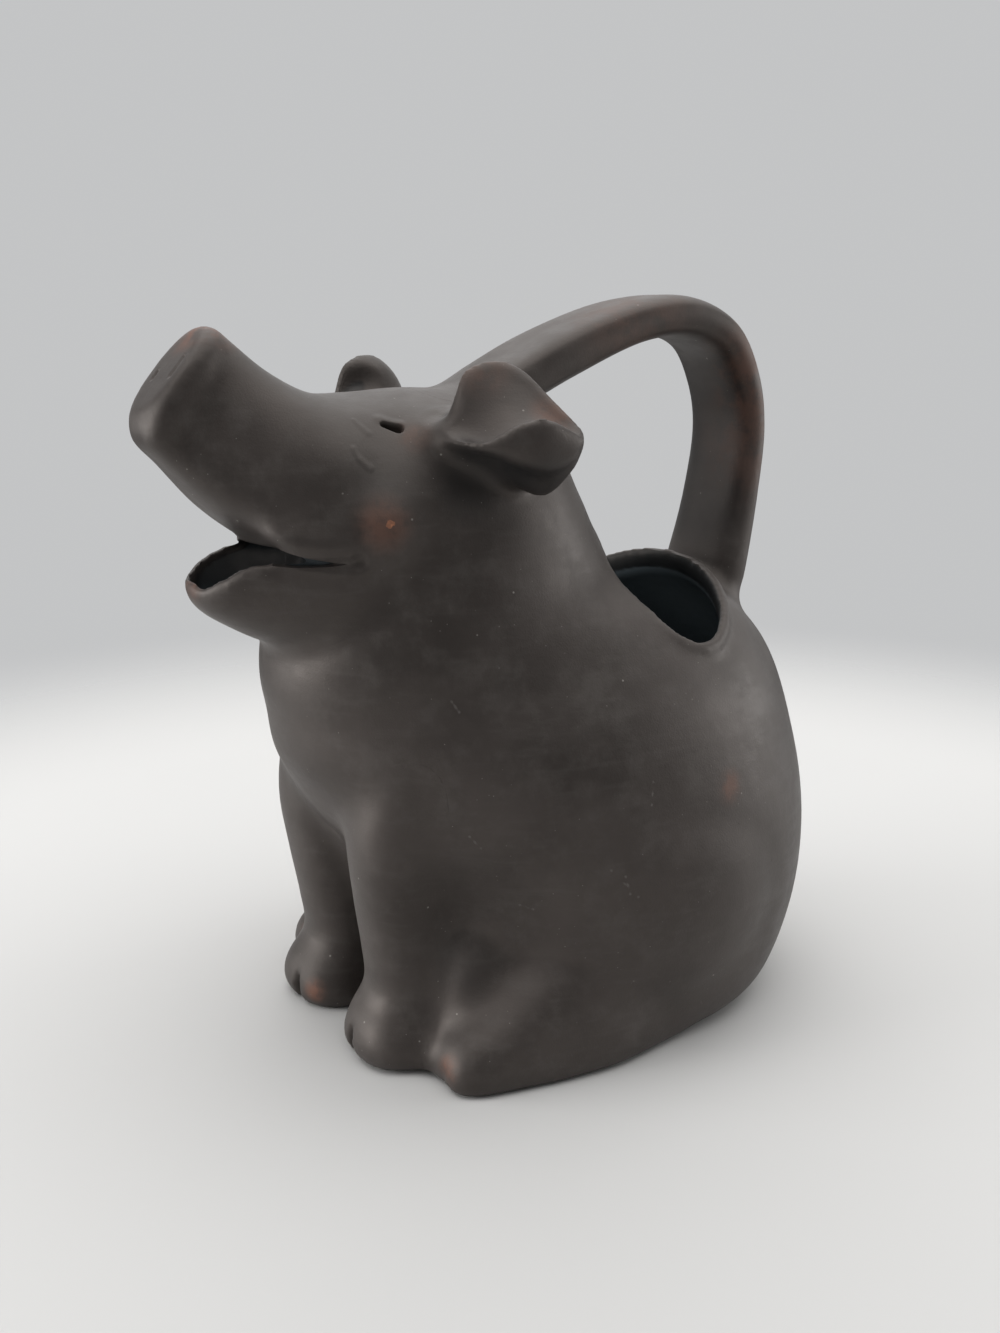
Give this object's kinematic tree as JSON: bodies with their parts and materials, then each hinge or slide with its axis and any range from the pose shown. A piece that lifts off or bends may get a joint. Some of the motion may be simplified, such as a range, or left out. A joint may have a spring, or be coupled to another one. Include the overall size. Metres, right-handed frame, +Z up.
{
  "type": "pitcher",
  "caption": "Hand-built dark clay pitcher in the form of a sitting pig, hollow, with a filling hole behind the neck, a strap handle and an open mouth that pours.",
  "frame": {"origin": "on the underside of the base slab, under the middle of the body, at table height", "axes": "+Z up, the pig faces -Y, its left side is +X"},
  "size_m": [0.1652, 0.2431, 0.2404],
  "materials": {
    "clay": "unglazed fired clay, dark chocolate brown, matte with a slight burnished sheen, rubbed to red-brown on the highest edges"
  },
  "bodies": {
    "root": {"base_slab": "clay", "body_shell": "clay", "filler_rim": "clay", "head_shell": "clay", "snout": "clay", "nose_disc": "clay", "lower_jaw": "clay", "ear_left": "clay", "ear_right": "clay", "handle": "clay", "front_leg_left": "clay", "front_leg_right": "clay", "hind_leg_left": "clay", "hind_leg_right": "clay", "tail": "clay"}
  },
  "joints": []
}
